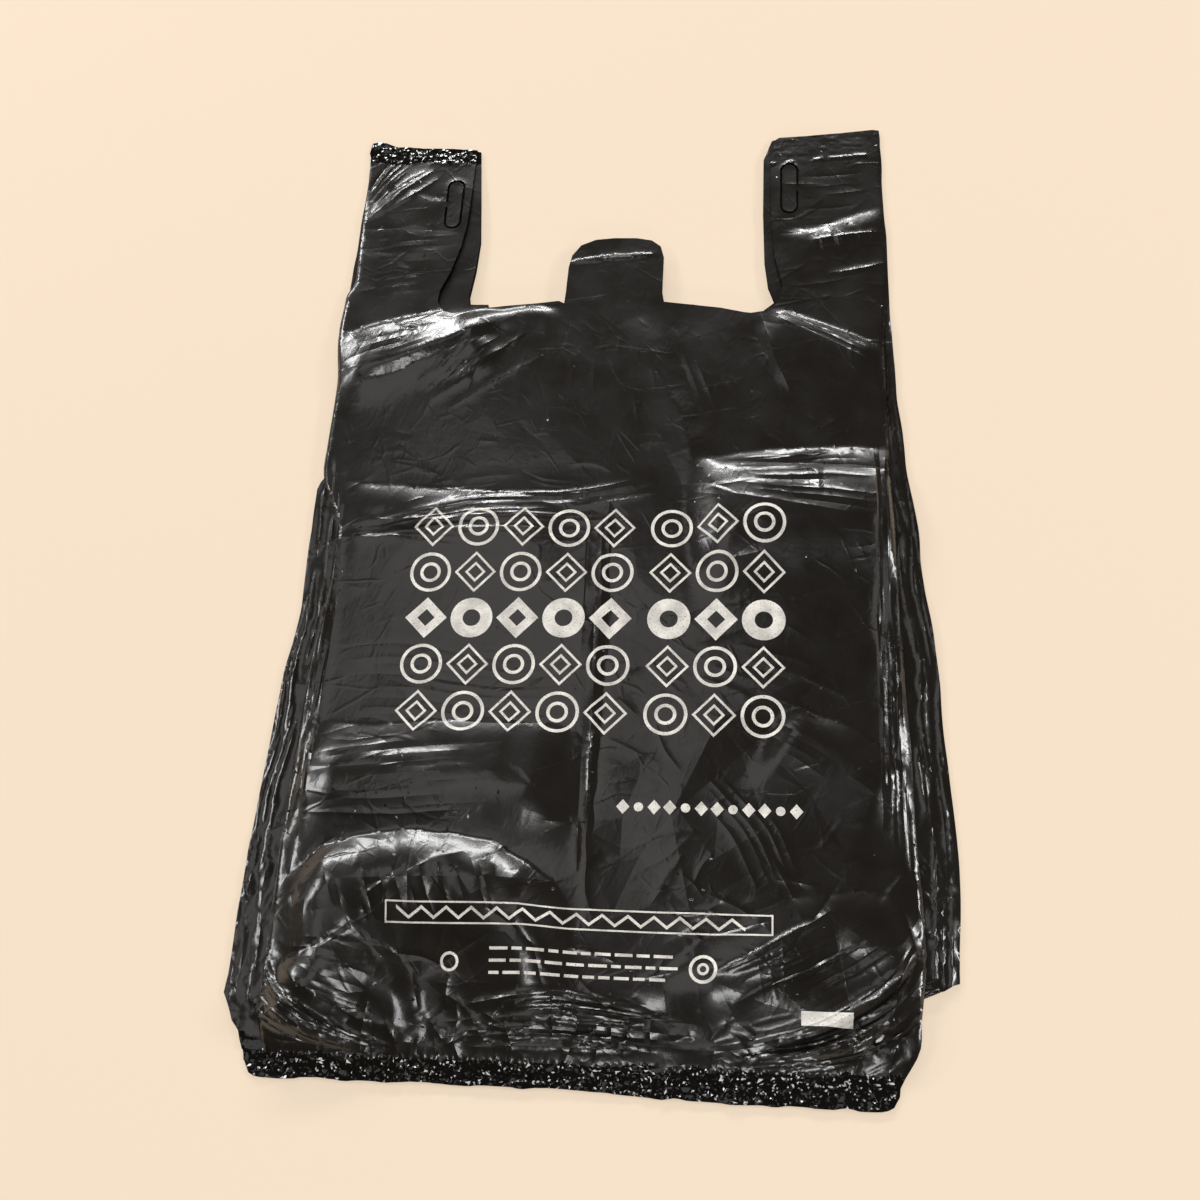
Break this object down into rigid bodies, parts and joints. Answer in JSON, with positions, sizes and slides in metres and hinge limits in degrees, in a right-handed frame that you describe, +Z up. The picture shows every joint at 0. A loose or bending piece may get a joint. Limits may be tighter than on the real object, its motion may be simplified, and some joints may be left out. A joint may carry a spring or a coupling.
{
  "type": "plastic carrier bag",
  "caption": "Vest-shaped carrier bag of thin film lying flat on its back: gusseted sides, welded hem and handle tops, die-cut mouth with a tear-off tab.",
  "frame": {"origin": "middle of the bag's bounding box, on the surface that the bag lies on", "axes": "+Z up out of the front panel, +Y from the hem to the handles, +X across the bag"},
  "size_m": [0.3262, 0.515, 0.0199],
  "materials": {
    "black_film": "glossy, finely wrinkled black film"
  },
  "bodies": {
    "root": {"carrier_bag": "black_film"}
  },
  "joints": []
}
